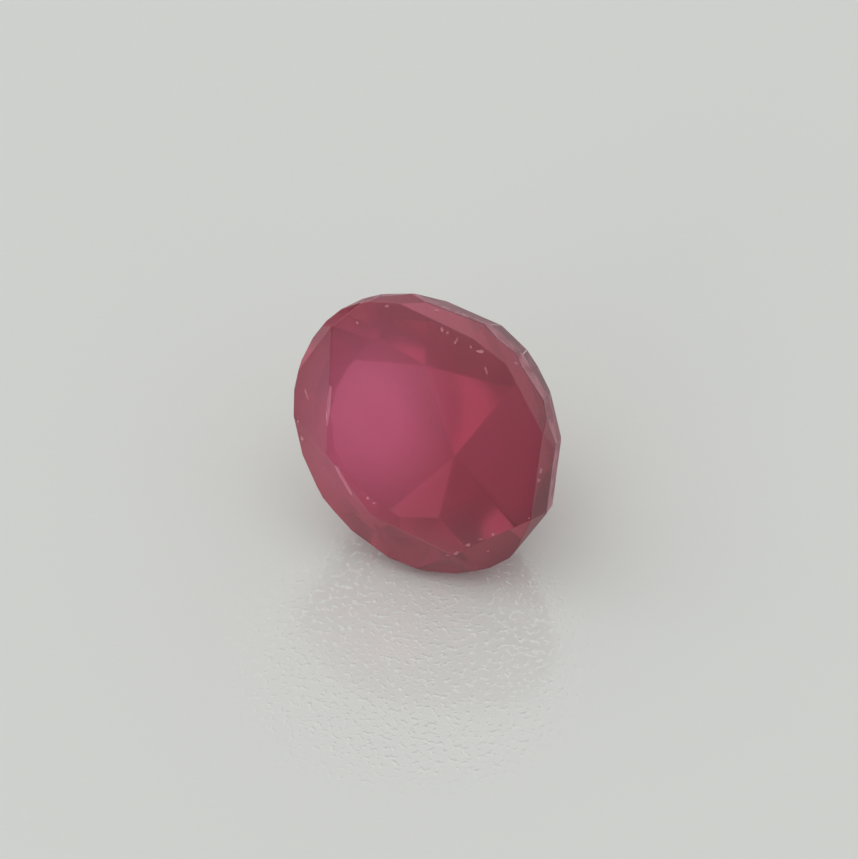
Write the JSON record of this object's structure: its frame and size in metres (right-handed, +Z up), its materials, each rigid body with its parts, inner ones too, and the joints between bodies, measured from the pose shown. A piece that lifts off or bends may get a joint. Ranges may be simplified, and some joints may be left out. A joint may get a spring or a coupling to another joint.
{
  "type": "ruby",
  "caption": "Loose faceted oval ruby of native cut, lying on a steep pavilion facet with its table facing forwards and a little up.",
  "frame": {"origin": "middle of the bounding box's underside, on the surface that the stone lies on", "axes": "+Z up, away from the facet that the stone lies on; -Y towards the side that the table faces; +X to the right of someone who faces the table"},
  "size_m": [0.009, 0.0078, 0.0093],
  "materials": {
    "ruby": "polished facets with worn edges, cloudy pinkish red inside"
  },
  "bodies": {
    "root": {"ruby": "ruby"}
  },
  "joints": []
}
